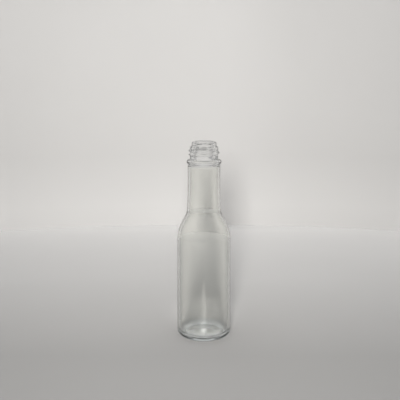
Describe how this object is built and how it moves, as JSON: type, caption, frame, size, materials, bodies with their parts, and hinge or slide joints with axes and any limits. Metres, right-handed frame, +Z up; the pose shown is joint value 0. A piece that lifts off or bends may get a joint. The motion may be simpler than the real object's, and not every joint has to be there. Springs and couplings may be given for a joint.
{
  "type": "glass sauce bottle",
  "caption": "Clear glass sauce bottle with a slim round body, sloped shoulder, tall neck, bead and screw finish, empty and open at the top.",
  "frame": {"origin": "middle of the base, level with the ring that the bottle stands on", "axes": "+Z up the bottle's own axis from the base to the mouth; +X and +Y across it"},
  "size_m": [0.0464, 0.0464, 0.1686],
  "materials": {
    "clear-glass": "smooth clear flint glass with a faint cool cast where it is thick"
  },
  "bodies": {
    "root": {"bottle": "clear-glass"}
  },
  "joints": []
}
